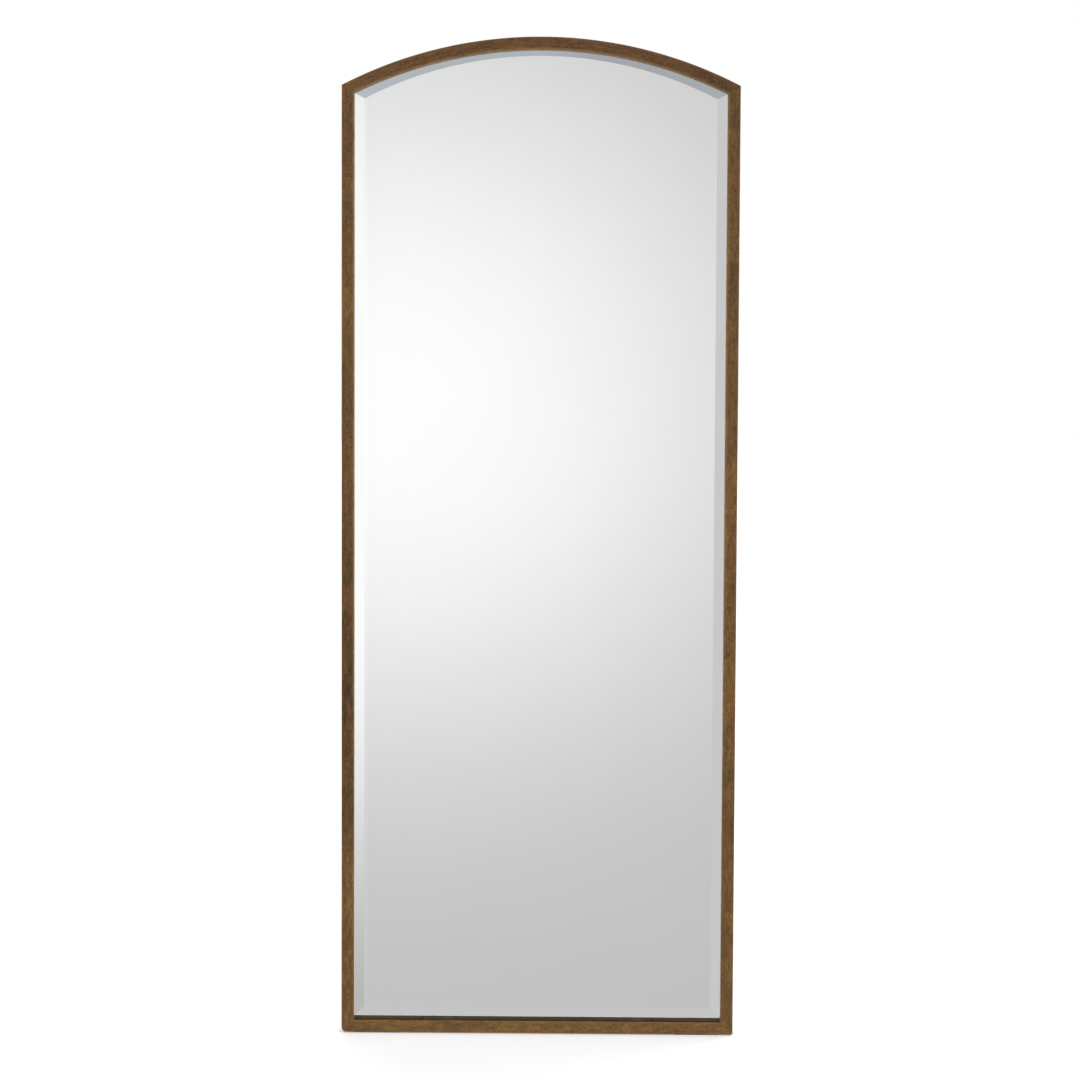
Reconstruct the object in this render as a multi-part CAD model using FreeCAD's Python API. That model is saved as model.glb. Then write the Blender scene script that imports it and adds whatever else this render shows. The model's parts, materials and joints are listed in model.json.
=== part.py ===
import FreeCAD, Part
import math
import os

# Leaning floor mirror with a shallow arched top.
# Millimetres. +Z is up, +X is to the right seen from the front, and the front faces -Y.
# The origin is on the floor, midway between the stiles and in the middle of the frame's depth.

# ---- Frame ----
frame_width = 713.0              # outside of one stile to outside of the other
frame_height = 1800.0            # underside of the bottom rail to the crown of the arch
arch_radius = 780.4              # outside of the arch
tube_face = 22.5                 # width of the tube, seen from the front
tube_depth = 30.0                # depth of the tube, front to back
tube_wall = 2.0
tube_edge_radius = 1.2           # the tube's long edges
edge_flats = 4                   # flats across each long edge of the bent tube
corner_radius_left = 9.0         # bottom corners, ground round after welding
corner_radius_right = 3.5

# ---- Floor pads ----
pad_thickness = 1.5
pad_length = 80.0
pad_edge_inset = 5.0             # from the frame's front and back faces
pad_end_inset = 25.0             # from the end of the bottom rail

# ---- Mirror ----
glass_thickness = 5.0
glass_recess = 5.0               # front of the frame to the front of the glass
glass_side_gap = 0.8             # glass edge to the stiles and the arch
bevel_width = 18.5               # sides and bottom, arris included
bevel_crown_width = 11.0         # at the crown of the arch, where the bevel is narrower
bevel_corner_width = 16.5        # where the arch's bevel meets the side bevels
bevel_drop = 2.5                 # how far the bevel falls towards the edge
arris_width = 2.0                # fine chamfer along the edge of the bevel
arris_depth = 0.9
film_thickness = 0.2
film_margin = 3.0                # edge of the glass to the edge of the film
film_cut_count = 48              # straight knife cuts that trim the film round the arch

# ---- Setting blocks, which carry the glass ----
block_height = 7.0
block_length = 60.0
block_inset = 125.0              # end of the glass to the near end of a block
block_front_lip = 0.5            # how far a block stands in front of the glass edge
block_back_gap = 0.3             # block to backing board

# ---- Backing board and what bonds the glass to it ----
board_thickness = 8.0
board_gap = 1.0                  # board edge to the frame
tape_thickness = 1.0
tape_width = 19.0
tape_count = 4
tape_side_inset = 85.0           # edge of the glass to the outer strips
tape_end_inset = 45.0            # lower edge of the glass to the strips, and the same at the arch
dab_radius = 22.0
dab_rows = 4
dab_end_inset = 170.0            # end of the strips to the first and last dabs

# ---- Tabs welded inside the frame, behind the board ----
tab_thickness = 2.0
tab_width = 24.0
tab_reach = 18.0                 # out of the tube, over the board
tab_corner_radius = 4.0
tab_hole_offset = 10.0           # hole to the tube's face
tab_hole_radius = 2.1
stile_tab_inset = 180.0          # corner of the opening to the nearest tab on a stile
bottom_tab_inset = 134.0         # corner of the opening to a tab on the rail
arch_tab_angle = 12.0            # degrees each side of the crown
arch_weld_gap = 0.7              # curved edge of an arch tab to the arch, for the weld's root
tab_screw_radius = 1.75
tab_screw_tip_gap = 2.4          # tip of the screw to the front of the board
tab_screw_head_radius = 3.4
tab_screw_head_height = 1.6
pilot_clearance = 0.05           # screw to its hole, radially

# ---- D-ring hangers ----
hanger_drop = 320.0              # corner of the opening down to the ring's hinge line
strap_width = 14.0
strap_layer = 1.2                # the strap is folded double
strap_end = 11.0                 # lower screw to the strap's end
ring_wire = 3.0                  # diameter
ring_side_gap = 0.6              # strap edge to the ring's leg
ring_reach = 16.0                # hinge line to the far side of the ring, wire centres
ring_corner_radius = 2.2         # on the wire's centre line
ring_play = 0.08                 # wire to the strap's eye, radially
ring_rest_gap = 0.3              # hanging ring to the strap behind it
ring_screw_gap = 3.7             # hanging ring to the first screw's head
hanger_screw_spacing = 20.0
hanger_screw_radius = 2.0
hanger_screw_length = 8.0
hanger_screw_head_radius = 3.8
hanger_screw_head_height = 2.2
strap_hole_radius = 2.25

# ---- Wall bumpers ----
bumper_radius = 8.0
bumper_height = 7.0
bumper_edge_radius = 2.5
upper_bumper_spacing = 300.0
lower_bumper_inset = 66.0        # corner of the opening up to a lower bumper

# ---- Screws, as shares of the head's or the shank's own size ----
recess_width = 0.9
recess_share = 0.55
head_round_share = 0.6
tip_share = 0.15

# ---- Worked out from the sizes above ----
margin = 20.0                    # how far cutting shapes run past what they cut
tiny = 1e-6
half_width = frame_width / 2
half_inside = half_width - tube_face
frame_bottom = pad_thickness
rail_top = frame_bottom + tube_face
arch_centre = frame_bottom + frame_height - arch_radius
arch_inside_radius = arch_radius - tube_face

frame_front = -tube_depth / 2
frame_back = tube_depth / 2
glass_front = frame_front + glass_recess
bevel_edge = glass_front + bevel_drop
glass_back = glass_front + glass_thickness
film_back = glass_back + film_thickness
board_front = film_back + tape_thickness
board_back = board_front + board_thickness
tab_back = board_back + tab_thickness

glass_half = half_inside - glass_side_gap
glass_bottom = rail_top + block_height
glass_arc_radius = arch_inside_radius - glass_side_gap

ring_radius = ring_wire / 2
eye_bore = ring_radius + ring_play
eye_radius = eye_bore + strap_layer
eye_centre = frame_back + eye_radius
strap_front = frame_back + 2 * strap_layer
ring_half = strap_width / 2 + ring_side_gap + ring_radius
ring_lean = math.asin((strap_front + ring_rest_gap + ring_radius - eye_centre) / ring_reach)
hanger_x = half_width - tube_face / 2
first_screw_drop = ring_reach + ring_radius + ring_screw_gap + hanger_screw_head_radius
strap_length = first_screw_drop + hanger_screw_spacing + strap_end

UP = FreeCAD.Vector(0, 0, 1)
BACK = FreeCAD.Vector(0, 1, 0)
ACROSS = FreeCAD.Vector(1, 0, 0)


def point(x, y, z):
    return FreeCAD.Vector(x, y, z)


def box(low, high):
    size = [b - a for a, b in zip(low, high)]
    return Part.makeBox(size[0], size[1], size[2], point(*low))


def arc_height(radius, x, centre=arch_centre):
    """Height above the floor of an arc about the arch's axis, at a place across the mirror."""
    return centre + math.sqrt(radius ** 2 - x ** 2)


opening_top = arc_height(arch_inside_radius, half_inside)
hanger_height = opening_top - hanger_drop
tape_bottom = glass_bottom + tape_end_inset
tape_x = glass_half - tape_side_inset
tape_top = arc_height(glass_arc_radius - tape_end_inset, tape_x)


def spread(low, high, count):
    """Evenly spaced places from low to high."""
    return [low + (high - low) * index / (count - 1) for index in range(count)]


def outline(y, half, bottom, radius, centre=arch_centre, round_left=0.0, round_right=0.0):
    """Closed outline across the mirror: flat bottom, straight sides and an arched top."""
    side_top = arc_height(radius, half, centre)
    diagonal = 1 - math.sqrt(0.5)
    edges = [Part.makeLine(point(-half + round_left, y, bottom), point(half - round_right, y, bottom))]
    if round_right > 0:
        edges.append(Part.Arc(
            point(half - round_right, y, bottom),
            point(half - round_right * diagonal, y, bottom + round_right * diagonal),
            point(half, y, bottom + round_right)).toShape())
    edges.append(Part.makeLine(point(half, y, bottom + round_right), point(half, y, side_top)))
    edges.append(Part.Arc(
        point(half, y, side_top), point(0, y, centre + radius), point(-half, y, side_top)).toShape())
    edges.append(Part.makeLine(point(-half, y, side_top), point(-half, y, bottom + round_left)))
    if round_left > 0:
        edges.append(Part.Arc(
            point(-half, y, bottom + round_left),
            point(-half + round_left * diagonal, y, bottom + round_left * diagonal),
            point(-half + round_left, y, bottom)).toShape())
    return Part.Wire(edges)


def plate(front, back, half, bottom, radius, **rounding):
    """Flat plate with the outline above, from one depth to another."""
    face = Part.Face(outline(front, half, bottom, radius, **rounding))
    return face.extrude(BACK * (back - front))


def straight_ring(inset):
    """The frame as one ring, with its faces moved inwards by inset.

    Its stiles run straight on past their upper mitres.
    """
    front = frame_front + inset
    back = frame_back - inset
    past = arch_centre + margin
    outer = plate(front, back, half_width - inset, frame_bottom + inset, arch_radius, centre=past,
                  round_left=max(corner_radius_left - inset, 0.0),
                  round_right=max(corner_radius_right - inset, 0.0))
    inner = plate(front - margin, back + margin, half_inside + inset, rail_top - inset,
                  arch_inside_radius, centre=past)
    return outer.cut(inner)


def mitre_line(side, upper):
    """Two points on a mitre, outside and inside the frame, as (x, z) pairs."""
    if upper:
        outer = (side * half_width, arc_height(arch_radius, half_width))
        inner = (side * half_inside, arc_height(arch_inside_radius, half_inside))
    else:
        outer = (side * half_width, frame_bottom)
        inner = (side * half_inside, rail_top)
    step = ((outer[0] - inner[0]) * margin / tube_face, (outer[1] - inner[1]) * margin / tube_face)
    return (outer[0] + step[0], outer[1] + step[1]), (inner[0] - step[0], inner[1] - step[1])


def mitre_cell(corners):
    """Prism through the depth of the frame, with its corners given as (x, z) pairs."""
    front = frame_front - margin
    corners = [point(x, front, z) for x, z in corners]
    face = Part.Face(Part.makePolygon(corners + corners[:1]))
    return face.extrude(BACK * (tube_depth + 2 * margin))


def stile_cell(side):
    low_out, low_in = mitre_line(side, False)
    high_out, high_in = mitre_line(side, True)
    return mitre_cell([low_out, low_in, high_in, high_out])


def rail_cell():
    left_out, left_in = mitre_line(-1, False)
    right_out, right_in = mitre_line(1, False)
    return mitre_cell([left_out, left_in, right_in, right_out])


def arch_cell():
    left_out, left_in = mitre_line(-1, True)
    right_out, right_in = mitre_line(1, True)
    top = frame_bottom + frame_height + margin
    return mitre_cell([left_in, left_out, (left_out[0], top), (right_out[0], top), right_out, right_in])


def make_straight_tube(cell):
    """One straight hollow tube of the frame, between its mitres, with its long edges rounded."""
    tube = straight_ring(0.0).common(cell)
    cuts = cell.Shells[0]
    long_edges = []
    for edge in tube.Edges:
        middle = edge.valueAt((edge.FirstParameter + edge.LastParameter) / 2)
        on_face = abs(abs(middle.y) - tube_depth / 2) < tiny
        if on_face and cuts.distToShape(Part.Vertex(middle))[0] > 0.01:
            long_edges.append(edge)
    return tube.makeFillet(tube_edge_radius, long_edges).cut(straight_ring(tube_wall))


def tube_section():
    """Hollow section of the tube in the plane x = 0, its rounded edges made of narrow flats."""
    corners = []
    for turn, (side_y, side_z) in enumerate(((1, 1), (-1, 1), (-1, -1), (1, -1))):
        y = side_y * (tube_depth / 2 - tube_edge_radius)
        z = side_z * (tube_face / 2 - tube_edge_radius)
        for step in range(edge_flats + 1):
            angle = math.radians(90 * (turn + step / edge_flats))
            corners.append(point(0, y + tube_edge_radius * math.cos(angle),
                                 z + tube_edge_radius * math.sin(angle)))
    y = tube_depth / 2 - tube_wall
    z = tube_face / 2 - tube_wall
    hollow = [point(0, y, z), point(0, -y, z), point(0, -y, -z), point(0, y, -z), point(0, y, z)]
    solid_face = Part.Face(Part.makePolygon(corners + corners[:1]))
    return solid_face.cut(Part.Face(Part.makePolygon(hollow))).Faces[0]


def make_arch_tube():
    """The hollow tube bent about the arch's axis, between its mitres."""
    ends = math.degrees(math.asin((half_width + margin) / arch_radius))
    start = tube_section()
    start.translate(point(0, 0, arch_centre + arch_radius - tube_face / 2))
    start.rotate(point(0, 0, arch_centre), BACK, -ends)
    tube = start.revolve(point(0, 0, arch_centre), BACK, 2 * ends)
    return tube.common(arch_cell())


def hanger_screw_places(side):
    first = hanger_height - first_screw_drop
    return [point(side * hanger_x, strap_front, first),
            point(side * hanger_x, strap_front, first - hanger_screw_spacing)]


def make_stile(side):
    stile = make_straight_tube(stile_cell(side))
    radius = hanger_screw_radius + pilot_clearance
    for place in hanger_screw_places(side):
        stile = stile.cut(Part.makeCylinder(radius, tube_depth, point(place.x, 0, place.z), BACK))
    return stile


def make_glass():
    """Plate with an arris along its edge and a bevel from there to the flat field."""
    field_half = glass_half - bevel_width
    field_crown = arch_centre + glass_arc_radius - bevel_crown_width
    field_rise = field_crown - arc_height(glass_arc_radius - bevel_corner_width, field_half)
    field_radius = (field_half ** 2 + field_rise ** 2) / (2 * field_rise)
    edge = outline(bevel_edge + arris_depth, glass_half, glass_bottom, glass_arc_radius)
    arris = outline(bevel_edge, glass_half - arris_width, glass_bottom + arris_width,
                    glass_arc_radius - arris_width)
    field = outline(glass_front, field_half, glass_bottom + bevel_width, field_radius,
                    centre=field_crown - field_radius)
    body = plate(bevel_edge + arris_depth, glass_back, glass_half, glass_bottom, glass_arc_radius)
    chamfer = Part.makeLoft([edge, arris], True, True)
    bevel = Part.makeLoft([arris, field], True, True)
    return body.fuse([chamfer, bevel]).removeSplitter()


def make_film():
    """Film on the back of the glass, its arched edge trimmed in short straight cuts."""
    half = glass_half - film_margin
    bottom = glass_bottom + film_margin
    radius = glass_arc_radius - film_margin
    corners = [point(x, glass_back, arc_height(radius, x)) for x in spread(half, -half, film_cut_count + 1)]
    corners += [point(-half, glass_back, bottom), point(half, glass_back, bottom)]
    return Part.Face(Part.makePolygon(corners + corners[:1])).extrude(BACK * film_thickness)


def make_setting_block(side):
    centre = side * (glass_half - block_inset - block_length / 2)
    return box((centre - block_length / 2, bevel_edge + arris_depth - block_front_lip, rail_top),
               (centre + block_length / 2, board_front - block_back_gap, glass_bottom))


def make_tape_strips():
    places = spread(-tape_x, tape_x, tape_count)
    return [box((x - tape_width / 2, film_back, tape_bottom), (x + tape_width / 2, board_front, tape_top))
            for x in places]


def make_dabs():
    strips = spread(-tape_x, tape_x, tape_count)
    columns = [(left + right) / 2 for left, right in zip(strips, strips[1:])]
    rows = spread(tape_bottom + dab_end_inset, tape_top - dab_end_inset, dab_rows)
    dabs = [Part.makeCylinder(dab_radius, tape_thickness, point(x, film_back, z), BACK)
            for x in columns for z in rows]
    return Part.makeCompound(dabs)


def place_on_stile(shape, side, height):
    """Moves what was made at the origin, reaching along +Z, to a stile's inner face."""
    shape = shape.copy()
    shape.rotate(point(0, 0, 0), BACK, -side * 90)
    shape.translate(point(side * half_inside, 0, height))
    return shape


def place_on_rail(shape, x):
    shape = shape.copy()
    shape.translate(point(x, 0, rail_top))
    return shape


def place_on_arch(shape, angle):
    """Turns what was made at the origin to reach down from the arch's inner face."""
    shape = shape.copy()
    shape.rotate(point(0, 0, 0), BACK, 180)
    shape.translate(point(0, 0, arch_centre + arch_inside_radius))
    shape.rotate(point(0, 0, arch_centre), BACK, angle)
    return shape


def on_each_tab_place(shape):
    """Copies of a shape at every tab, by the name of the place."""
    copies = {}
    heights = spread(rail_top + stile_tab_inset, opening_top - stile_tab_inset, 3)
    for side, side_name in ((-1, "left"), (1, "right")):
        for level, height in zip(("low", "middle", "high"), heights):
            copies[side_name + "_" + level] = place_on_stile(shape, side, height)
        copies["bottom_" + side_name] = place_on_rail(shape, side * (half_inside - bottom_tab_inset))
        copies["arch_" + side_name] = place_on_arch(shape, side * arch_tab_angle)
    return copies


def make_tab():
    """Steel tab at the origin: its welded edge is at z = 0 and it reaches along +Z."""
    tab = box((-tab_width / 2, board_back, 0), (tab_width / 2, tab_back, tab_reach))
    corners = [edge for edge in tab.Edges
               if edge.BoundBox.ZMin > tab_reach - tiny and edge.BoundBox.XLength < tiny]
    tab = tab.makeFillet(tab_corner_radius, corners)
    hole = Part.makeCylinder(tab_hole_radius, tab_thickness + 2 * margin,
                             point(0, board_back - margin, tab_hole_offset), BACK)
    return tab.cut(hole)


def make_tabs():
    tabs = {}
    for place, tab in on_each_tab_place(make_tab()).items():
        if place.startswith("arch"):
            # Its welded edge is cut to the curve of the arch's inner face.
            tab = extend_to_arch(tab, place)
        tabs["board_tab_" + place] = tab
    return tabs


def extend_to_arch(tab, place):
    """Lengthens a tab up to the curved face that it is welded to, less the weld's gap."""
    stub = box((-tab_width / 2, board_back, -tab_reach), (tab_width / 2, tab_back, 0))
    side = -1 if place.endswith("left") else 1
    stub = place_on_arch(stub, side * arch_tab_angle)
    inside = Part.makeCylinder(arch_inside_radius - arch_weld_gap, 4 * margin,
                               point(0, -2 * margin, arch_centre), BACK)
    return tab.fuse(stub).common(inside).removeSplitter()


def make_screw(radius, length, head_radius, head_height):
    """Pan-head screw with a cross recess, pointing along -Y, its head seated at y = 0."""
    tip = radius
    shank = Part.makeCylinder(radius, length - tip, point(0, 0, 0), -BACK)
    end = Part.makeCone(radius, radius * tip_share, tip, point(0, tip - length, 0), -BACK)
    head = Part.makeCylinder(head_radius, head_height, point(0, 0, 0), BACK)
    rim = [edge for edge in head.Edges if edge.BoundBox.YMin > head_height - tiny]
    head = head.makeFillet(head_height * head_round_share, rim)
    reach = head_radius * recess_share
    floor = head_height * (1 - recess_share)
    above = head_height + margin
    slot = box((-reach, floor, -recess_width / 2), (reach, above, recess_width / 2))
    cross = box((-recess_width / 2, floor, -reach), (recess_width / 2, above, reach))
    return head.fuse([shank, end]).cut([slot, cross])


def make_tab_screws():
    length = tab_thickness + board_thickness - tab_screw_tip_gap
    screw = make_screw(tab_screw_radius, length, tab_screw_head_radius, tab_screw_head_height)
    screw.translate(point(0, tab_back, tab_hole_offset))
    return Part.makeCompound(list(on_each_tab_place(screw).values()))


def make_board():
    board = plate(board_front, board_back, half_inside - board_gap, rail_top + board_gap,
                  arch_inside_radius - board_gap)
    depth = board_thickness - tab_screw_tip_gap + pilot_clearance
    hole = Part.makeCylinder(tab_screw_radius + pilot_clearance, depth + margin,
                             point(0, board_back - depth, tab_hole_offset), BACK)
    return board.cut(list(on_each_tab_place(hole).values()))


def make_strap(side):
    """Strap folded double round the ring's bar, with two screw holes."""
    x = side * hanger_x
    end = hanger_height - strap_length
    half = strap_width / 2
    body = box((x - half, frame_back, end + half), (x + half, strap_front, hanger_height))
    foot = Part.makeCylinder(half, strap_front - frame_back, point(x, frame_back, end + half), BACK)
    eye = Part.makeCylinder(eye_radius, strap_width, point(x - half, eye_centre, hanger_height), ACROSS)
    strap = body.fuse([foot, eye])
    bore = Part.makeCylinder(eye_bore, strap_width + 2 * margin,
                             point(x - half - margin, eye_centre, hanger_height), ACROSS)
    holes = [Part.makeCylinder(strap_hole_radius, 2 * margin, place - BACK * margin, BACK)
             for place in hanger_screw_places(side)]
    return strap.cut([bore] + holes).removeSplitter()


def bend_wire(start, along, centre, angle):
    """A round stretch of wire from a start point, bent about an axis through the centre."""
    section = Part.Face(Part.Wire(Part.makeCircle(ring_radius, start, along)))
    return section.revolve(centre, BACK, angle)


def make_ring(side):
    """D-shaped wire ring, hanging from its straight bar and just clear of the strap."""
    corner = ring_corner_radius
    bar = ring_half - corner
    shoulder = ring_reach - ring_half
    pieces = [Part.makeCylinder(ring_radius, 2 * bar, point(-bar, 0, 0), ACROSS)]
    for end in (-1, 1):
        pieces.append(Part.makeCylinder(ring_radius, shoulder - corner,
                                        point(end * ring_half, 0, -shoulder), UP))
        pieces.append(bend_wire(point(end * bar, 0, 0), ACROSS, point(end * bar, 0, -corner), end * 90))
    pieces.append(bend_wire(point(ring_half, 0, -shoulder), UP, point(0, 0, -shoulder), 180))
    ring = pieces[0].fuse(pieces[1:]).removeSplitter()
    ring.rotate(point(0, 0, 0), ACROSS, math.degrees(ring_lean))
    ring.translate(point(side * hanger_x, eye_centre, hanger_height))
    return ring


def make_hanger_screws(side):
    screws = []
    for place in hanger_screw_places(side):
        screw = make_screw(hanger_screw_radius, hanger_screw_length,
                           hanger_screw_head_radius, hanger_screw_head_height)
        screw.translate(place)
        screws.append(screw)
    return Part.makeCompound(screws)


def make_pad(side):
    inner = side * (half_width - pad_end_inset - pad_length)
    outer = side * (half_width - pad_end_inset)
    return box((min(inner, outer), frame_front + pad_edge_inset, 0),
               (max(inner, outer), frame_back - pad_edge_inset, frame_bottom))


def make_bumper(x, z):
    bumper = Part.makeCylinder(bumper_radius, bumper_height, point(x, frame_back, z), BACK)
    top = frame_back + bumper_height
    rim = [edge for edge in bumper.Edges if edge.BoundBox.YMin > top - tiny]
    return bumper.makeFillet(bumper_edge_radius, rim)


def make_bumpers():
    upper_x = upper_bumper_spacing / 2
    upper_z = arc_height(arch_radius - tube_face / 2, upper_x)
    return {
        "wall_bumper_upper_left": make_bumper(-upper_x, upper_z),
        "wall_bumper_upper_right": make_bumper(upper_x, upper_z),
        "wall_bumper_lower_left": make_bumper(-hanger_x, rail_top + lower_bumper_inset),
        "wall_bumper_lower_right": make_bumper(hanger_x, rail_top + lower_bumper_inset),
    }


def all_pieces():
    pieces = {
        "left_stile": make_stile(-1),
        "right_stile": make_stile(1),
        "bottom_rail": make_straight_tube(rail_cell()),
        "arch_rail": make_arch_tube(),
    }
    pieces["mirror_glass"] = make_glass()
    pieces["safety_film"] = make_film()
    pieces["backing_board"] = make_board()
    for index, strip in enumerate(make_tape_strips()):
        pieces["tape_strip_" + str(index + 1)] = strip
    pieces["mastic_dabs"] = make_dabs()
    pieces.update(make_tabs())
    pieces["board_tab_screws"] = make_tab_screws()
    for side, side_name in ((-1, "left"), (1, "right")):
        pieces["setting_block_" + side_name] = make_setting_block(side)
        pieces["hanger_strap_" + side_name] = make_strap(side)
        pieces["d_ring_" + side_name] = make_ring(side)
        pieces["hanger_screws_" + side_name] = make_hanger_screws(side)
        pieces["floor_pad_" + side_name] = make_pad(side)
    pieces.update(make_bumpers())
    return pieces


os.makedirs("parts", exist_ok=True)
for name, shape in all_pieces().items():
    assert shape.isValid() and shape.Volume > 0, name
    shape.exportStep("parts/" + name + ".step")
    print(name, len(shape.Solids), "solids,", round(shape.Volume), "mm3")
print("hinge lines: x", hanger_x, "y", eye_centre, "z", round(hanger_height, 3))
print("ring's lean at rest:", round(math.degrees(ring_lean), 3), "degrees")
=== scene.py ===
import json
import math

import bmesh
import bpy
from mathutils import Matrix, Vector, noise


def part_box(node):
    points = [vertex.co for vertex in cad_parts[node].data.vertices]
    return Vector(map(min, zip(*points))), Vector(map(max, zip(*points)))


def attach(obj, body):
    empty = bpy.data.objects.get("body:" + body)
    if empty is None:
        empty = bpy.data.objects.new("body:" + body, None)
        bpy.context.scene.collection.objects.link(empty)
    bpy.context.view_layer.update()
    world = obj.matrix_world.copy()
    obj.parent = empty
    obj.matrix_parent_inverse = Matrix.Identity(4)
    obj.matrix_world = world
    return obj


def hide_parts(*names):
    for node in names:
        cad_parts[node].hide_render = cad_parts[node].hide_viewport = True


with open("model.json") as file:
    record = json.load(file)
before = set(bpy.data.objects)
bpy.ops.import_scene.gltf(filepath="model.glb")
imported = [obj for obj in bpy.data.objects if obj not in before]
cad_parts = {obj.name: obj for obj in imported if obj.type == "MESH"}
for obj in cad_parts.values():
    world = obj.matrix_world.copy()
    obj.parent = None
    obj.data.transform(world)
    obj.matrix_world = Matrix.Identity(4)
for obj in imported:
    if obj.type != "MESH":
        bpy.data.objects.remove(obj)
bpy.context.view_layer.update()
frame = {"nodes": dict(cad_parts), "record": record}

# ---- Sizes in metres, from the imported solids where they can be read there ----
MM = 0.001
RAIL_LOW, RAIL_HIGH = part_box("bottom_rail")
GLASS_LOW, GLASS_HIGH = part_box("mirror_glass")
FRONT = RAIL_LOW.y
BACK = RAIL_HIGH.y
BOTTOM = RAIL_LOW.z
FACE = RAIL_HIGH.z - RAIL_LOW.z
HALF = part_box("right_stile")[1].x
ARCH_RADIUS = 780.4 * MM
ARCH_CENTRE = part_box("arch_rail")[1].z - ARCH_RADIUS
INNER_RADIUS = ARCH_RADIUS - FACE
EDGE_RADIUS = 1.2 * MM
CORNER_LEFT = 9.0 * MM
CORNER_RIGHT = 3.5 * MM

GLASS_GROWN = 0.65 * MM     # the finished plate fills more of its clearance at the sides and the arch
GLASS_HALF = GLASS_HIGH.x + GLASS_GROWN
GLASS_RADIUS = GLASS_HIGH.z - ARCH_CENTRE + GLASS_GROWN
GLASS_SHOULDER = ARCH_CENTRE + math.sqrt(GLASS_RADIUS ** 2 - GLASS_HALF ** 2)
BOARD_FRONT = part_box("backing_board")[0].y
BEVEL_WIDTH = 18.5 * MM     # at the sides and the bottom
BEVEL_CROWN = 11.0 * MM     # at the top of the arch
BEVEL_CORNER = 16.5 * MM    # at the ends of the arch
BEVEL_DROP = 1.3 * MM       # the mirror image's own tilt, less than the glass's because glass bends light
ARRIS_WIDTH = 1.0 * MM
ARRIS_DROP = 0.5 * MM
FIELD_HALF = GLASS_HALF - BEVEL_WIDTH       # the field is the flat part inside the bevel
FIELD_BOTTOM = GLASS_LOW.z + BEVEL_WIDTH
GHOST_TOP = GLASS_SHOULDER - 9.4 * MM       # the ghost is a painted reflection, the bevel's second image, in the field beside it
GHOST_WIDTH = 5.5 * MM
GHOST_END = 7.0 * MM        # where it has faded away

WAVE = 0.12 * MM            # how far the hand-finished tube wanders
WAVE_FADE = 15.0 * MM       # how far from its ends it starts to wander in full
BROAD_ACROSS, BROAD_ALONG = 30, 14          # waves in a metre, across a tube and along it
FINE_ACROSS, FINE_ALONG = 90, 55
RING_STEP = 8.0 * MM        # between the rings of a tube's mesh
CORNER_RUN = 8.0 * MM       # how much of a tube has closer rings, for a rounded corner
CORNER_STEP = 0.6 * MM


def linear(red, green, blue):
    """Linear colour from the 0-255 values of an sRGB one."""
    values = [channel / 255 for channel in (red, green, blue)]
    return [v / 12.92 if v <= 0.04045 else ((v + 0.055) / 1.055) ** 2.4 for v in values] + [1.0]


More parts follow.
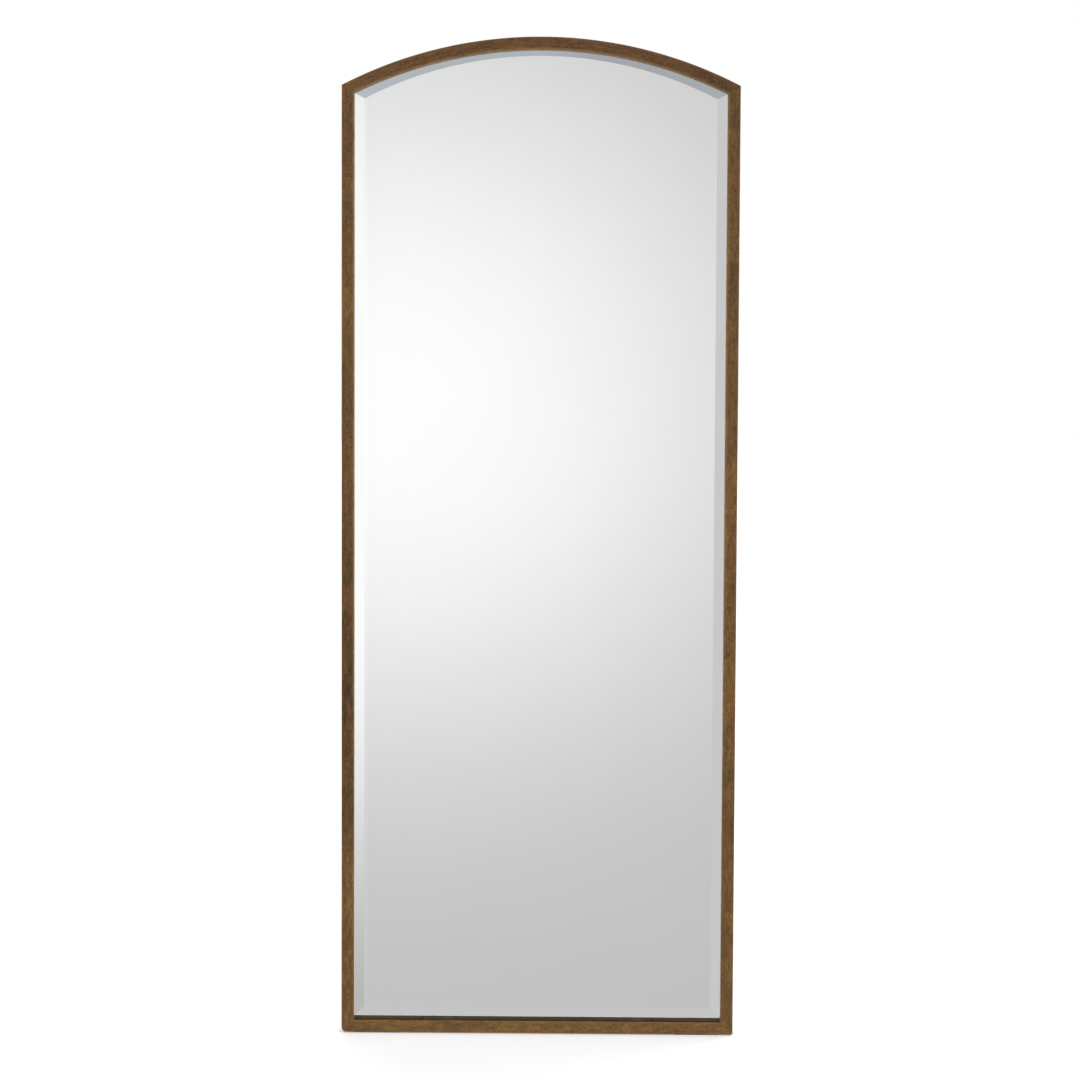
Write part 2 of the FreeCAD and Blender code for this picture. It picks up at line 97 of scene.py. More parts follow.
# ---- Node helpers ----
class Nodes:
    """A node tree with short calls for the nodes used here."""

    def __init__(self, tree):
        self.tree = tree
        tree.nodes.clear()

    def add(self, kind, **settings):
        node = self.tree.nodes.new(kind)
        for name, value in settings.items():
            setattr(node, name, value)
        return node

    def put(self, socket, value):
        """Links an output to a socket, or sets the socket's own value."""
        if isinstance(value, bpy.types.NodeSocket):
            self.tree.links.new(value, socket)
        elif value is not None:
            socket.default_value = value

    def object_place(self):
        """Where a point lies on the object."""
        return self.add("ShaderNodeTexCoord").outputs["Object"]

    def maths(self, operation, first, second=None):
        node = self.add("ShaderNodeMath", operation=operation)
        for socket, value in zip(node.inputs, (first, second)):
            self.put(socket, value)
        return node.outputs[0]

    def total(self, *values):
        result = values[0]
        for value in values[1:]:
            result = self.maths("ADD", result, value)
        return result

    def product(self, *values):
        result = values[0]
        for value in values[1:]:
            result = self.maths("MULTIPLY", result, value)
        return result

    def weighted(self, *pairs):
        """Sum of (value, weight) pairs."""
        return self.total(*[self.product(value, weight) for value, weight in pairs])

    def smooth(self, value, low, high, to_low=0.0, to_high=1.0):
        """Smooth step of a value from one range to another."""
        node = self.add("ShaderNodeMapRange", interpolation_type="SMOOTHSTEP")
        for socket, number in zip(node.inputs, (value, low, high, to_low, to_high)):
            self.put(socket, number)
        return node.outputs[0]

    def vector(self, x, y, z):
        node = self.add("ShaderNodeCombineXYZ")
        for socket, value in zip(node.inputs, (x, y, z)):
            self.put(socket, value)
        return node.outputs[0]

    def grey(self, level):
        return self.vector(level, level, level)

    def split(self, vector):
        node = self.add("ShaderNodeSeparateXYZ")
        self.put(node.inputs[0], vector)
        return node.outputs

    def noise(self, vector, scale, detail=4.0, roughness=0.55, distortion=0.0):
        node = self.add("ShaderNodeTexNoise", noise_dimensions="3D")
        for name, value in (("Vector", vector), ("Scale", scale), ("Detail", detail),
                            ("Roughness", roughness), ("Distortion", distortion)):
            self.put(node.inputs[name], value)
        return node.outputs["Fac"]

    def mix(self, factor, first, second, blend="MIX"):
        node = self.add("ShaderNodeMix", data_type="RGBA", blend_type=blend)
        self.put(node.inputs["Factor"], factor)
        self.put(node.inputs[6], first)
        self.put(node.inputs[7], second)
        return node.outputs[2]

    def ramp(self, factor, *stops):
        """Colour ramp through (place, colour) stops."""
        node = self.add("ShaderNodeValToRGB")
        points = node.color_ramp.elements
        while len(points) < len(stops):
            points.new(0.5)
        for point, (place, colour) in zip(points, stops):
            point.position = place
            point.color = colour
        self.put(node.inputs[0], factor)
        return node.outputs[0]

    def bump(self, height, distance, strength):
        node = self.add("ShaderNodeBump")
        self.put(node.inputs["Strength"], strength)
        self.put(node.inputs["Distance"], distance)
        self.put(node.inputs["Height"], height)
        return node.outputs[0]

    def finish(self, **inputs):
        """The surface shader, with its inputs given by name."""
        shader = self.add("ShaderNodeBsdfPrincipled")
        output = self.add("ShaderNodeOutputMaterial")
        for name, value in inputs.items():
            self.put(shader.inputs[name.replace("_", " ")], value)
        self.tree.links.new(shader.outputs[0], output.inputs[0])


def new_material(name):
    material = bpy.data.materials.new(name)
    material.use_nodes = True
    return material, Nodes(material.node_tree)


# ---- Frame finish: antique bronze, brushed by hand along each member ----
BRONZE_DARK = linear(75, 52, 29)
BRONZE_MID = linear(109, 79, 43)
BRONZE_GOLD = linear(142, 108, 57)
BRONZE_RED = linear(118, 75, 44)
BRONZE_OLIVE = linear(101, 83, 44)
# Pale rubbed-through bronze, also used as a painted highlight along the edges.
BRONZE_RUB_AND_HIGHLIGHT = linear(156, 123, 82)
# Painted shade and painted light for the frame's inner faces in front of the glass.
BRONZE_PAINTED_SHADE = linear(84, 66, 46)
BRONZE_PAINTED_LIGHT = linear(206, 180, 148)
BRONZE_METALLIC = 0.55
PATCH_STRETCH = 3.2         # how many times longer a patch is along its member
BRUSH_STRETCH = 6.0         # the same for a brushed streak
RAIL_LEVEL = 0.12           # above 0 is paler than the middle tone
TONE_WEIGHTS = (0.6, 0.6, 0.45)             # of the broad, patch and mottle noises
ARCH_TONE_WEIGHTS = (0.5, 0.35, 0.3)
SHADE_WEIGHTS = (1.4, 1.0, 1.4, 0.4)        # of the streak, fine, speck and grain noises


def drawn_out(n, along, across, y, times):
    """A place for noise that is so many times longer along a member."""
    return n.vector(n.maths("MULTIPLY", across, times), n.maths("MULTIPLY", y, times), along)


def member_directions(n, run, x, z):
    """Distances along and across a member, and inward from its outer face."""
    if run == "stile":
        return z, x, n.maths("SUBTRACT", HALF, n.maths("ABSOLUTE", x))
    if run == "rail":
        return x, z, n.maths("SUBTRACT", z, BOTTOM)
    up = n.maths("SUBTRACT", z, ARCH_CENTRE)
    across = n.maths("SQRT", n.total(n.product(x, x), n.product(up, up)))
    along = n.maths("MULTIPLY", n.maths("ARCTAN2", x, up), ARCH_RADIUS)
    return along, across, n.maths("SUBTRACT", ARCH_RADIUS, across)


def member_level(n, run, x, z):
    """How much paler or darker a member is from place to place."""
    if run == "rail":
        return RAIL_LEVEL
    if run == "arch":
        return n.total(n.smooth(n.maths("ABSOLUTE", x), 0.05, 0.3, -0.16, -0.1),
                       n.smooth(x, -0.2, 0.25, 0.05, -0.07))
    # The left stile is darkest below its middle, and the right one palest near its middle.
    dull = n.total(n.product(n.smooth(z, 0.2, 0.55), n.smooth(z, 0.75, 1.25, -0.24, -0.03)),
                   n.smooth(z, 1.5, 1.65, 0.0, -0.14))
    pale = n.total(n.product(n.smooth(z, 0.3, 0.8), n.smooth(z, 1.0, 1.4, 0.06, -0.06)), -0.03)
    return n.total(n.product(n.smooth(x, -0.1, 0.1, 1.0, 0.0), dull),
                   n.product(n.smooth(x, -0.1, 0.1), pale), n.smooth(z, 0.0, 0.3, 0.05, 0.0))


def rubbed_and_highlit_edges(n, inward, y, z, place):
    """How far the edges are rubbed through, with a painted highlight along them: in places, and most on the
    inner ones up high.
    """
    from_inside = n.maths("SUBTRACT", FACE, inward)
    near_inside = n.product(n.smooth(from_inside, 0.8 * MM, 4.6 * MM, 1.0, 0.0),
                            n.smooth(z, 0.25, 1.0, 0.25, 1.0))
    near_edge = n.maths("MAXIMUM", near_inside, n.smooth(inward, 0.4 * MM, 3.0 * MM, 0.8, 0.0))
    return n.product(near_edge, n.smooth(n.noise(place, 34.0, 4.0, 0.65), 0.3, 0.66, 0.3, 1.0),
                     n.smooth(y, FRONT + 0.6 * MM, FRONT + 1.6 * MM, 0.5, 0.3))


def bronze(name, run):
    """Bronze whose streaks follow a member: run is stile, rail or arch."""
    material, n = new_material(name)
    x, y, z = n.split(n.object_place())
    along, across, inward = member_directions(n, run, x, z)
    here = n.vector(x, y, z)
    place = drawn_out(n, along, across, y, PATCH_STRETCH)
    brushed = drawn_out(n, along, across, y, BRUSH_STRETCH)
    broad = n.noise(place, 5.5, 3.0, 0.5, 0.4)
    patch = n.noise(place, 21.0, 5.0, 0.62, 0.6)
    mottle = n.noise(here, 120.0, 4.0, 0.65, 0.5)
    speck = n.noise(here, 320.0, 2.0, 0.6)
    streak = n.noise(brushed, 42.0, 4.0, 0.6)
    fine = n.noise(brushed, 120.0, 3.0, 0.65)
    grain = n.noise(here, 1400.0, 2.0, 0.6)

    # The arch is the evenest member, and the reddest.
    even = run == "arch"
    weights = ARCH_TONE_WEIGHTS if even else TONE_WEIGHTS
    tone = n.total(n.weighted(*zip((broad, patch, mottle), weights)), 0.5 - sum(weights) / 2)
    colour = n.ramp(n.maths("ADD", tone, member_level(n, run, x, z)),
                    (0.15, BRONZE_DARK), (0.5, BRONZE_MID), (0.85, BRONZE_GOLD))
    redness = n.smooth(n.noise(place, 13.0, 4.0, 0.6, 0.3), 0.5, 0.7, 0.15 if even else 0.0, 0.6)
    colour = n.mix(redness, colour, BRONZE_RED)
    green = n.smooth(n.noise(place, 29.0, 4.0, 0.65, 0.4), 0.52, 0.7, 0.0, 0.25 if even else 0.6)
    colour = n.mix(green, colour, BRONZE_OLIVE)
    # Brushed streaks, specks and grain darken and lighten what is under them.
    shade = n.total(n.weighted(*zip((streak, fine, speck, grain), SHADE_WEIGHTS)),
                    1.0 - sum(SHADE_WEIGHTS) / 2)
    colour = n.mix(1.0, colour, n.grey(shade), "MULTIPLY")

    # Rubbed-through edges, plus a painted highlight where the rounded edges would catch the light,
    # strongest on the inner edges up high.
    colour = n.mix(rubbed_and_highlit_edges(n, inward, y, z, place), colour, BRONZE_RUB_AND_HIGHLIGHT)
    # Painted light and shade on the inner faces in front of the glass: paler on the stiles and the arch,
    # darker on the rail's upward face.
    inner = n.product(n.smooth(inward, FACE - 0.7 * MM, FACE - 0.3 * MM),
                      n.smooth(y, FRONT + 0.7 * MM, FRONT + 1.6 * MM, 0.0, 0.8),
                      n.smooth(y, GLASS_HIGH.y, BOARD_FRONT, 1.0, 0.3))
    colour = n.mix(inner, colour, BRONZE_PAINTED_SHADE if run == "rail" else BRONZE_PAINTED_LIGHT)
    n.finish(Base_Color=colour, Metallic=BRONZE_METALLIC,
             Roughness=n.total(n.weighted((streak, 0.22), (patch, 0.14)), 0.32),
             Normal=n.bump(n.weighted((streak, 0.6), (fine, 0.4), (grain, 0.25)), 0.12 * MM, 0.6))
    return material


# ---- Finishes of the mirror and of the pieces behind it ----
def silvered():
    """Polished, silvered glass, with a trace of haze and of roller wave."""
    material, n = new_material("silvered_glass")
    place = n.object_place()
    haze = n.noise(place, 7.0, 4.0, 0.6)
    colour = n.mix(n.smooth(haze, 0.3, 0.75), linear(243, 243, 244), linear(242, 242, 242))
    # Painted reflection: the left bevel's ghost image, lightened into the glass beside it.
    axes = n.split(place)
    beside = n.maths("ADD", axes[0], FIELD_HALF)
    height = axes[2]
    painted_ghost_reflection = n.product(n.smooth(beside, 0.0, 0.2 * MM), n.smooth(beside, GHOST_WIDTH, GHOST_END, 1.0, 0.0),
                      n.smooth(height, FIELD_BOTTOM, FIELD_BOTTOM + 0.4 * MM),
                      n.smooth(height, GHOST_TOP - 0.4 * MM, GHOST_TOP + 0.6 * MM, 1.0, 0.0))
    colour = n.mix(painted_ghost_reflection, colour, linear(246, 246, 246))
    wave = n.noise(place, 3.0, 1.0, 0.4)
    n.finish(Base_Color=colour, Metallic=1.0, Roughness=n.smooth(haze, 0.35, 0.8, 0.004, 0.014),
             Normal=n.bump(wave, 0.02 * MM, 0.3))
    return material


def ground_glass():
    """The fine-ground arris, which looks whitish."""
    material, n = new_material("ground_arris")
    place = n.object_place()
    speck = n.noise(place, 90.0, 4.0, 0.5)
    colour = n.ramp(speck, (0.3, linear(238, 235, 229)), (0.7, linear(252, 249, 243)))
    # Under the arch it is greyer: painted shade from the arch above it.
    height = n.split(place)[2]
    colour = n.mix(n.smooth(height, GLASS_SHOULDER - 1 * MM, GLASS_SHOULDER), colour, linear(168, 167, 165))
    n.finish(Base_Color=colour, Roughness=n.smooth(speck, 0.2, 0.8, 0.3, 0.5))
    return material


def speckled(name, scale, detail, dark, pale, smoothest, roughest):
    """A plain surface with fine specks between two colours."""
    material, n = new_material(name)
    speck = n.noise(n.object_place(), scale, detail, 0.6)
    n.finish(Base_Color=n.ramp(speck, (0.3, dark), (0.7, pale)),
             Roughness=n.smooth(speck, 0.2, 0.8, smoothest, roughest))
    return material


def glass_edge():
    """The deep green of the plate's own edge."""
    return speckled("glass_edge", 220.0, 4.0, linear(38, 66, 58), linear(74, 108, 96), 0.18, 0.4)


def mirror_paint():
    """The grey paint behind the silver."""
    return speckled("mirror_backing_paint", 60.0, 5.0, linear(96, 100, 103), linear(122, 126, 128),
                    0.4, 0.6)


def fibreboard():
    """Sanded brown fibreboard: mottled, with short fibres and a few dark flecks."""
    material, n = new_material("sanded_fibreboard")
    place = n.object_place()
    cloud = n.noise(place, 4.0, 4.0, 0.55, 0.4)
    fibre = n.noise(place, 420.0, 4.0, 0.7, 1.2)
    fleck = n.noise(place, 160.0, 2.0, 0.5, 0.6)
    colour = n.ramp(n.total(n.weighted((cloud, 0.4), (fibre, 0.7)), -0.05),
                    (0.25, linear(122, 96, 68)), (0.5, linear(146, 117, 85)),
                    (0.78, linear(170, 141, 106)))
    colour = n.mix(n.smooth(fleck, 0.66, 0.76, 0.0, 0.6), colour, linear(86, 64, 44))
    # The front face, towards the glass, is darkened: painted shade for the gap under the glass.
    depth = n.split(place)[1]
    colour = n.mix(n.smooth(depth, BOARD_FRONT + 0.8 * MM, BOARD_FRONT + 1.4 * MM, 1.0, 0.0), colour,
                   n.ramp(cloud, (0.3, linear(86, 70, 58)), (0.7, linear(100, 84, 70))))
    n.finish(Base_Color=colour, Roughness=n.smooth(fibre, 0.2, 0.8, 0.72, 0.92),
             Specular_IOR_Level=0.3, Normal=n.bump(fibre, 0.2 * MM, 0.35))
    return material


def rubber(name, dark, pale, scale):
    """Matt rubber with a pebbled skin and a little dust."""
    material, n = new_material(name)
    place = n.object_place()
    pebble = n.noise(place, scale, 3.0, 0.6)
    dust = n.noise(place, 45.0, 4.0, 0.6)
    colour = n.mix(n.smooth(dust, 0.4, 0.75), dark, pale)
    n.finish(Base_Color=colour, Roughness=n.smooth(pebble, 0.2, 0.8, 0.55, 0.8),
             Specular_IOR_Level=0.35, Normal=n.bump(pebble, 0.2 * MM, 0.4))
    return material


def foam(name, dark, pale, scale):
    """Foam, film or set adhesive: a soft pale surface with fine cells."""
    material, n = new_material(name)
    place = n.object_place()
    cells = n.add("ShaderNodeTexVoronoi")
    n.put(cells.inputs["Vector"], place)
    n.put(cells.inputs["Scale"], scale)
    cell = cells.outputs["Distance"]
    cloud = n.noise(place, 30.0, 4.0, 0.6)
    colour = n.mix(n.smooth(cloud, 0.3, 0.7), dark, pale)
    n.finish(Base_Color=colour, Roughness=n.smooth(cell, 0.0, 0.8, 0.55, 0.8),
             Normal=n.bump(cell, 0.2 * MM, 0.3))
    return material


MARK_STRETCH = 9.0          # how many times longer a handling mark is than wide


def metal(name, dark, pale, scale, smoothest, roughest, metallic):
    """Plated or blackened hardware with fine handling marks."""
    material, n = new_material(name)
    place = n.object_place()
    cloud = n.noise(place, scale, 5.0, 0.6)
    x, y, z = n.split(place)
    marks = n.noise(n.vector(n.maths("MULTIPLY", x, MARK_STRETCH), y, z), 90.0, 3.0, 0.6)
    colour = n.mix(n.smooth(cloud, 0.3, 0.7), dark, pale)
    n.finish(Base_Color=colour, Metallic=metallic,
             Roughness=n.smooth(marks, 0.2, 0.8, smoothest, roughest))
    return material


# ---- Mesh helpers ----
def link_piece(name, mesh, materials, slot_name, *nodes):
    """Makes a visible piece from a mesh, which rides on the frame and replaces CAD nodes."""
    bmesh.ops.recalc_face_normals(mesh, faces=mesh.faces)
    data = bpy.data.meshes.new(name)
    mesh.to_mesh(data)
    mesh.free()
    piece = bpy.data.objects.new(name, data)
    bpy.context.scene.collection.objects.link(piece)
    for material in materials:
        data.materials.append(material)
    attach(piece, "frame")
    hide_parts(*nodes)


def bridge(mesh, near, far):
    """Faces between two closed loops of the same length."""
    count = len(near)
    return [mesh.faces.new((near[index], near[(index + 1) % count], far[(index + 1) % count], far[index]))
            for index in range(count)]


def steps(length, dense_start, dense_end):
    """Distances along a member, closer together where a corner is rounded."""
    places = {0.0, length}
    for index in range(1, int(round(CORNER_RUN / CORNER_STEP)) + 1):
        if dense_start:
            places.add(index * CORNER_STEP)
        if dense_end:
            places.add(length - index * CORNER_STEP)
    low = CORNER_RUN if dense_start else 0.0
    high = length - CORNER_RUN if dense_end else length
    rings = int(round((high - low) / RING_STEP))
    places.update(low + (high - low) * index / rings for index in range(1, rings))
    return sorted(places)


def tube_profile():
    """The tube's outline as (inset from the outer face, depth, normal inward, normal in depth)."""
    corners = ((FACE - EDGE_RADIUS, FRONT + EDGE_RADIUS, -90), (FACE - EDGE_RADIUS, BACK - EDGE_RADIUS, 0),
               (EDGE_RADIUS, BACK - EDGE_RADIUS, 90), (EDGE_RADIUS, FRONT + EDGE_RADIUS, 180))
    flat_parts, corner_parts = 5, 4
    outline = []
    for index, (inset, depth, start) in enumerate(corners):
        for step in range(corner_parts + 1):
            angle = math.radians(start + 90 * step / corner_parts)
            outline.append((inset + EDGE_RADIUS * math.cos(angle), depth + EDGE_RADIUS * math.sin(angle),
                            math.cos(angle), math.sin(angle)))
        last = outline[-1]
        next_inset, next_depth, next_start = corners[(index + 1) % 4]
        angle = math.radians(next_start)
        following = (next_inset + EDGE_RADIUS * math.cos(angle), next_depth + EDGE_RADIUS * math.sin(angle))
        for step in range(1, flat_parts):
            share = step / flat_parts
            outline.append((last[0] + (following[0] - last[0]) * share,
                            last[1] + (following[1] - last[1]) * share, last[2], last[3]))
    return outline


def round_bottom(x, z, inset):
    """Moves a point of the frame on to its rounded bottom corners."""
    radius = CORNER_LEFT if x < 0 else CORNER_RIGHT
    side = -1 if x < 0 else 1
    centre = Vector((side * (HALF - radius), BOTTOM + radius))
    away = Vector((x, z)) - centre
    if inset < radius and away.x * side > 0 and away.y < 0:
        away = away.normalized() * (radius - inset)
        return centre.x + away.x, centre.y + away.y
    return x, z


def mitre_point(inset):
    """Place on the right upper mitre at an inset from the arch's outer face, as (x, z)."""
    outer = Vector((HALF, math.sqrt(ARCH_RADIUS ** 2 - HALF ** 2)))
    half_in = HALF - FACE
    inner = Vector((half_in, math.sqrt(INNER_RADIUS ** 2 - half_in ** 2)))
    step = inner - outer
    radius = ARCH_RADIUS - inset
    a, b, c = step.dot(step), outer.dot(step), outer.dot(outer) - radius ** 2
    share = (-b - math.sqrt(max(b * b - a * c, 0.0))) / a
    return outer + step * share


def upper_mitre_height(inset):
    """Height at which a stile's line at an inset meets the upper mitre."""
    high = ARCH_CENTRE + math.sqrt(ARCH_RADIUS ** 2 - HALF ** 2)
    low = ARCH_CENTRE + math.sqrt(INNER_RADIUS ** 2 - (HALF - FACE) ** 2)
    return high + (low - high) * inset / FACE


# A member's place function gives (x, z, inward x, inward z) at an inset and a share of its length.
def stile_place(side):
    """The place function of the left stile (-1) or the right one (1)."""
    def place(inset, share):
        low = BOTTOM + inset
        z = low + (upper_mitre_height(inset) - low) * share
        x, z = round_bottom(side * (HALF - inset), z, inset)
        return x, z, -side, 0.0
    return place


def rail_place(inset, share):
    half = HALF - inset
    x, z = round_bottom(half * (2 * share - 1), BOTTOM + inset, inset)
    return x, z, 0.0, 1.0


def arch_place(inset, share):
    end = mitre_point(inset)
    angle = math.atan2(end.x, end.y) * (2 * share - 1)
    radius = ARCH_RADIUS - inset
    return (radius * math.sin(angle), ARCH_CENTRE + radius * math.cos(angle),
            -math.sin(angle), -math.cos(angle))


def sink_at(inset, depth, distance, seed):
    """How far a point of a tube lies below its true face, from 0 to 1."""
    broad = noise.noise(Vector((inset * BROAD_ACROSS, depth * BROAD_ACROSS + seed, distance * BROAD_ALONG)))
    fine = noise.noise(Vector((inset * FINE_ACROSS + seed, depth * FINE_ACROSS, distance * FINE_ALONG)))
    return min(max(0.5 + 0.7 * broad + 0.35 * fine, 0.0), 1.0)


def tube(name, place, length, dense_start, dense_end, material, seed, node):
    """A mitred member with rounded edges and a trace of unevenness from the hand finish."""
    profile = tube_profile()
    mesh = bmesh.new()
    rings = []
    for distance in steps(length, dense_start, dense_end):
        share = distance / length
        fade = min(1.0, min(distance, length - distance) / WAVE_FADE)
        ring = []
        for inset, depth, toward_in, toward_back in profile:
            x, z, in_x, in_z = place(inset, share)
            sink = -WAVE * fade * sink_at(inset, depth, distance, seed)
            ring.append(mesh.verts.new((x + in_x * toward_in * sink, depth + toward_back * sink,
                                        z + in_z * toward_in * sink)))
        rings.append(ring)
    for before, after in zip(rings, rings[1:]):
        for face in bridge(mesh, before, after):
            face.smooth = True
    for ring in (rings[0][::-1], rings[-1]):
        for edge in mesh.faces.new(ring).edges:
            edge.smooth = False
    link_piece(name, mesh, [material], "frame_metal", node)


def glass_outline(half, bottom, radius, centre, parts=120):
    """Points round the mirror: bottom left, bottom right, then over the arch to the left."""
    points = [(-half, bottom), (half, bottom)]
    for index in range(parts + 1):
        x = half * math.cos(math.pi * index / parts)
        points.append((x, centre + math.sqrt(radius ** 2 - x ** 2)))
    return points


def bevelled_glass():
    """The mirror plate: flat field, bevel, ground arris, edge and painted back."""
    crown = ARCH_CENTRE + GLASS_RADIUS - BEVEL_CROWN
    shoulder = ARCH_CENTRE + math.sqrt((GLASS_RADIUS - BEVEL_CORNER) ** 2 - FIELD_HALF ** 2)
    rise = crown - shoulder
    field_radius = (FIELD_HALF ** 2 + rise ** 2) / (2 * rise)
    bevel_y = GLASS_LOW.y + BEVEL_DROP
    field = glass_outline(FIELD_HALF, FIELD_BOTTOM, field_radius, crown - field_radius)
    arris = glass_outline(GLASS_HALF - ARRIS_WIDTH, GLASS_LOW.z + ARRIS_WIDTH,
                          GLASS_RADIUS - ARRIS_WIDTH, ARCH_CENTRE)
    edge = glass_outline(GLASS_HALF, GLASS_LOW.z, GLASS_RADIUS, ARCH_CENTRE)
    mirror, ground, green, paint = range(4)
    mesh = bmesh.new()
    loops = [[mesh.verts.new((x, y, z)) for x, z in points] for y, points in
             ((GLASS_LOW.y, field), (bevel_y, arris), (bevel_y + ARRIS_DROP, edge), (GLASS_HIGH.y, edge))]
    mesh.faces.new(loops[0]).material_index = mirror
    for material_index, near, far in zip((mirror, ground, green), loops, loops[1:]):
        for face in bridge(mesh, near, far):
            face.material_index = material_index
    mesh.faces.new(loops[-1][::-1]).material_index = paint
    link_piece("bevelled_mirror_plate", mesh, [silvered(), ground_glass(), glass_edge(), mirror_paint()],
               "mirror", "mirror_glass")


# ---- Pieces ----
bronzes = {run: bronze("brushed_bronze_" + run, run) for run in ("stile", "rail", "arch")}
stile_length = upper_mitre_height(0.0) - BOTTOM
arch_end = mitre_point(0.0)
arch_length = 2 * ARCH_RADIUS * math.atan2(arch_end.x, arch_end.y)
tube("left_stile_tube", stile_place(-1), stile_length, True, False, bronzes["stile"], 3.0, "left_stile")
tube("right_stile_tube", stile_place(1), stile_length, True, False, bronzes["stile"], 11.0, "right_stile")
tube("bottom_rail_tube", rail_place, 2 * HALF, True, True, bronzes["rail"], 23.0, "bottom_rail")
tube("arch_rail_tube", arch_place, arch_length, False, False, bronzes["arch"], 37.0, "arch_rail")
bevelled_glass()


# ---- Finishes for the solids that stay ----
def member_of(name):
    """The kind of member that a frame node is, or is welded to."""
    if "arch" in name:
        return "arch"
    return "rail" if "bottom" in name else "stile"


def dress_solids():
    """Gives each solid the finish of its slot."""
    finishes = {
        "safety_film": foam("film", linear(150, 155, 158), linear(172, 176, 178), 300.0),
        "backing_board": fibreboard(),
        "foam_tape": foam("foam_tape", linear(214, 213, 208), linear(232, 231, 226), 900.0),
        "mastic": foam("set_mastic", linear(176, 171, 156), linear(198, 193, 178), 200.0),
        "block_rubber": rubber("block_rubber", linear(66, 55, 47), linear(80, 68, 57), 500.0),
        "bumper_rubber": rubber("bumper_rubber", linear(34, 34, 35), linear(58, 57, 55), 700.0),
        "pad_rubber": rubber("pad_rubber", linear(40, 40, 41), linear(60, 59, 58), 800.0),
        "black_screws": metal("black_oxide", linear(30, 30, 32), linear(52, 51, 50), 300.0, 0.3, 0.5, 0.8),
        "plated_steel": metal("nickel_plate", linear(158, 154, 147), linear(186, 183, 176), 120.0,
                              0.18, 0.34, 1.0),
    }
    for subpart in frame["record"]["subparts"]:
        node = frame["nodes"][subpart["node"]]
        slot_name = subpart["material_slot"]
        finish = finishes.get(slot_name)
        if slot_name == "frame_metal":
            finish = bronzes[member_of(subpart["node"])]
        if finish is not None and not node.hide_render:
            for slot in node.material_slots:
                slot.material = finish


dress_solids()


# ---- Floor: it catches the shadow, and glows a little for the camera alone ----
FLOOR_COLOUR = (0.86, 0.86, 0.855, 1.0)
FLOOR_GLOW = 0.2


def lay_floor():
    """A broad floor, nearly as white as the surround where there is no shadow."""
    reach = 60.0
    data = bpy.data.meshes.new("floor")
    data.from_pydata([(-reach, -reach, 0), (reach, -reach, 0), (reach, reach, 0), (-reach, reach, 0)],
                     [], [(0, 1, 2, 3)])
    floor = bpy.data.objects.new("floor", data)
    bpy.context.scene.collection.objects.link(floor)
    floor.visible_glossy = False
    material, n = new_material("pale_floor")
    path = n.add("ShaderNodeLightPath")
    diffuse = n.add("ShaderNodeBsdfDiffuse")
    n.put(diffuse.inputs["Color"], FLOOR_COLOUR)
    glow = n.add("ShaderNodeEmission")
    seen = n.maths("MAXIMUM", path.outputs["Is Camera Ray"], path.outputs["Is Transmission Ray"])
    n.put(glow.inputs["Strength"], n.product(seen, FLOOR_GLOW))
    both = n.add("ShaderNodeAddShader")
    n.put(both.inputs[0], diffuse.outputs[0])
    n.put(both.inputs[1], glow.outputs[0])
    n.put(n.add("ShaderNodeOutputMaterial").inputs[0], both.outputs[0])
    data.materials.append(material)


lay_floor()

# ---- World: a white surround for the camera, and a soft studio for what shines ----
# Turn and rise are angles in radians from straight out of the mirror, towards +x and upward.
GLOW_TURN, GLOW_RISE = -0.0754, -0.0029     # the middle of the bright patch
GLOW_ABOVE, GLOW_BELOW = 0.1448, 0.1382     # how wide it is on each side
GLOW_RIGHT, GLOW_LEFT = 0.1543, 0.0302
GLOW_POWER = 1.1485         # 1 would be a plain bell shape
GLOW_PEAK = 0.5168
WALL_LEVEL = 0.5853
WINDOW_LEVEL = 0.52
FILL_LEVEL = 0.6            # what lights the surfaces that don't shine
COOL_TINT = (0.93, 1.0, 1.05, 1.0)
WHITE = (1.0, 1.0, 1.0, 1.0)


def soft_glow(n, turn, rise):
    """The bright patch, which falls off at its own rate on each side."""
    offset = n.maths("SUBTRACT", turn, GLOW_TURN)
    lift = n.maths("SUBTRACT", rise, GLOW_RISE)
    parts = [n.maths("DIVIDE", n.maths(side, way, 0.0), width) for side, way, width in
             (("MAXIMUM", lift, GLOW_ABOVE), ("MINIMUM", lift, GLOW_BELOW),
              ("MAXIMUM", offset, GLOW_RIGHT), ("MINIMUM", offset, GLOW_LEFT))]
    spread = n.total(*[n.product(part, part) for part in parts])
    falloff = n.maths("MULTIPLY", n.maths("POWER", spread, GLOW_POWER), -1.0)
    return n.product(n.maths("EXPONENT", falloff), GLOW_PEAK)


def studio_light(n, turn, rise):
    """How bright the studio is each way."""
    field = n.total(soft_glow(n, turn, rise), WALL_LEVEL, n.smooth(turn, 0.07, 0.2, 0.0, 0.055),
                    n.product(n.smooth(rise, 0.12, 0.28), n.smooth(turn, -0.02, 0.05, -0.08, -0.15)),
                    n.smooth(rise, -0.38, -0.25, 0.03, 0.0))
    # The window to the left, which only the left bevel shows.
    window = n.total(n.product(n.smooth(rise, -0.25, -0.08), n.smooth(rise, 0.03, 0.3, 0.57, 0.06)),
                     WINDOW_LEVEL)
    ahead = n.total(n.product(field, n.smooth(turn, -0.24, -0.085)),
                    n.product(window, n.smooth(turn, -0.24, -0.085, 1.0, 0.0)))
    # A pale side wall on the right, a pale ceiling further up, and a slightly paler floor.
    return n.total(ahead, n.smooth(turn, 0.35, 1.0, 0.0, 0.3), n.smooth(rise, 0.45, 1.1, 0.0, 0.42),
                   n.smooth(rise, -1.1, -0.45, 0.12, 0.0))


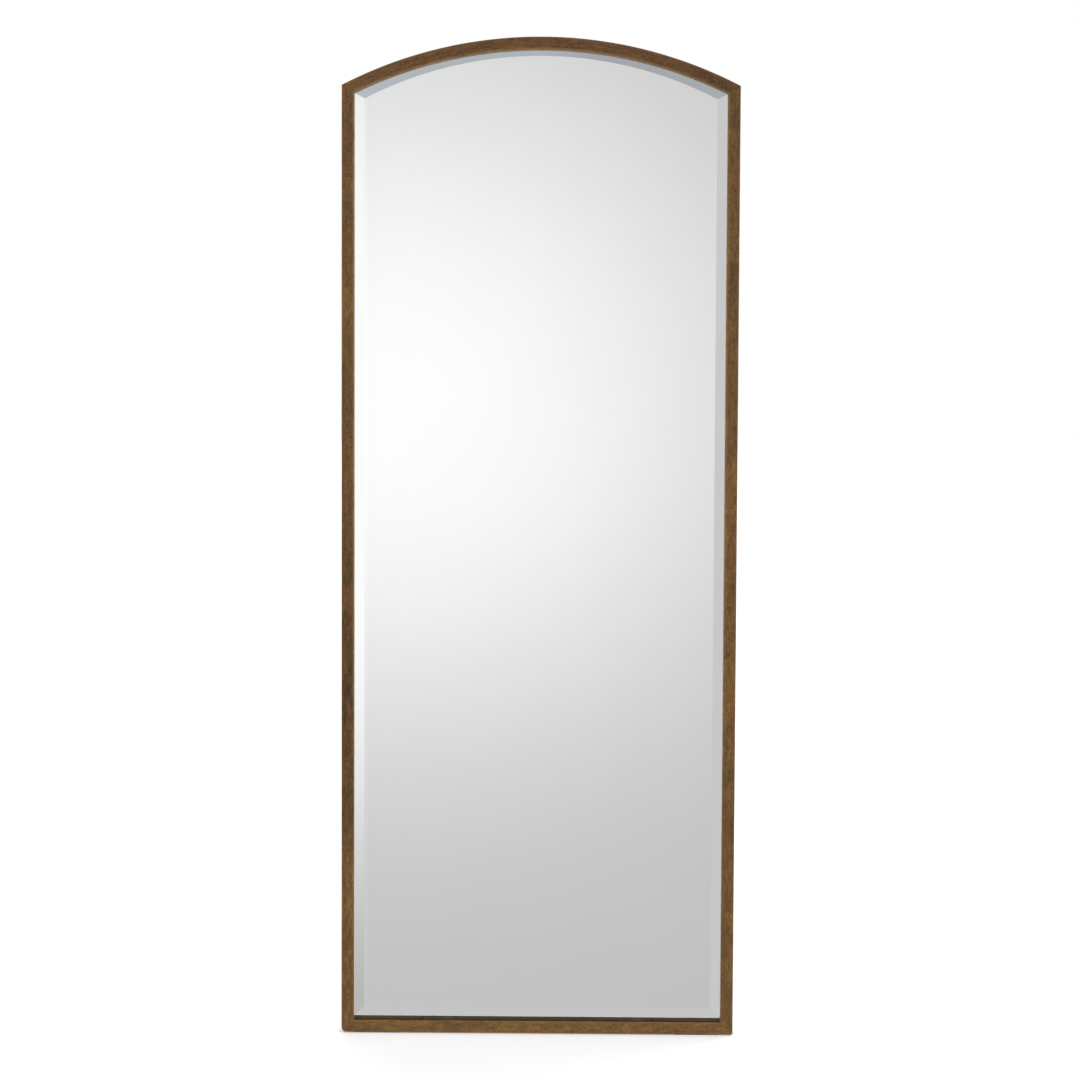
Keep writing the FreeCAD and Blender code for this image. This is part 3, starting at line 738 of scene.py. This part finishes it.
def light_world():
    """Shows the studio to shiny rays only."""
    world = bpy.data.worlds.new("studio")
    bpy.context.scene.world = world
    world.use_nodes = True
    n = Nodes(world.node_tree)
    way_x, way_y, way_z = n.split(n.add("ShaderNodeTexCoord").outputs["Generated"])
    turn = n.maths("ARCTAN2", way_x, n.maths("MULTIPLY", way_y, -1.0))
    rise = n.maths("ARCSINE", way_z)
    tint = n.mix(n.smooth(rise, 0.16, 0.3), WHITE, COOL_TINT)
    studio = n.mix(1.0, n.grey(studio_light(n, turn, rise)), tint, "MULTIPLY")
    path = n.add("ShaderNodeLightPath")
    shiny = n.mix(path.outputs["Is Glossy Ray"], n.grey(FILL_LEVEL), studio)
    seen = n.maths("MAXIMUM", path.outputs["Is Camera Ray"], path.outputs["Is Transmission Ray"])
    background = n.add("ShaderNodeBackground")
    n.put(background.inputs["Color"], n.mix(seen, shiny, WHITE))
    n.put(n.add("ShaderNodeOutputWorld").inputs[0], background.outputs[0])


light_world()


# ---- Lamps: broad suns, so that the floor is lit the same far away ----
def soft_sun(name, way, spread_angle, strength):
    """Light that comes from a direction, as wide as the angle in degrees."""
    data = bpy.data.lights.new(name, "SUN")
    data.angle = math.radians(spread_angle)
    data.energy = strength
    lamp = bpy.data.objects.new(name, data)
    bpy.context.scene.collection.objects.link(lamp)
    lamp.rotation_euler = Vector(way).to_track_quat("Z", "Y").to_euler()
    lamp.visible_glossy = False


soft_sun("key", (0.42, -0.75, 0.55), 70.0, 1.4)
soft_sun("fill", (-0.6, -0.6, 0.5), 90.0, 0.5)
soft_sun("rear", (0.25, 0.75, 0.6), 80.0, 1.4)

# ---- Camera: nearly square on, from a little right of the middle ----
CAMERA_PLACE = (0.0644, -4.6045, 1.1601)
CAMERA_ANGLES = (3.213, 0.305, -0.78)       # degrees about x, y and z
LENS_MM = 85.0
SENSOR_MM = 36.0


def place_camera():
    """Places the camera that the sizes were fitted with."""
    data = bpy.data.cameras.new("camera")
    data.sensor_width = SENSOR_MM
    data.lens = LENS_MM
    data.clip_end = 200.0
    camera = bpy.data.objects.new("camera", data)
    bpy.context.scene.collection.objects.link(camera)
    about_x, about_y, about_z = [Matrix.Rotation(math.radians(angle), 3, axis)
                                 for axis, angle in zip("XYZ", CAMERA_ANGLES)]
    to_right, forward, to_top = about_z @ about_y @ about_x
    turned = Matrix((to_right, to_top, -forward)).transposed().to_4x4()
    camera.matrix_world = Matrix.Translation(CAMERA_PLACE) @ turned
    bpy.context.scene.camera = camera


place_camera()
bpy.context.scene.view_settings.view_transform = "Standard"
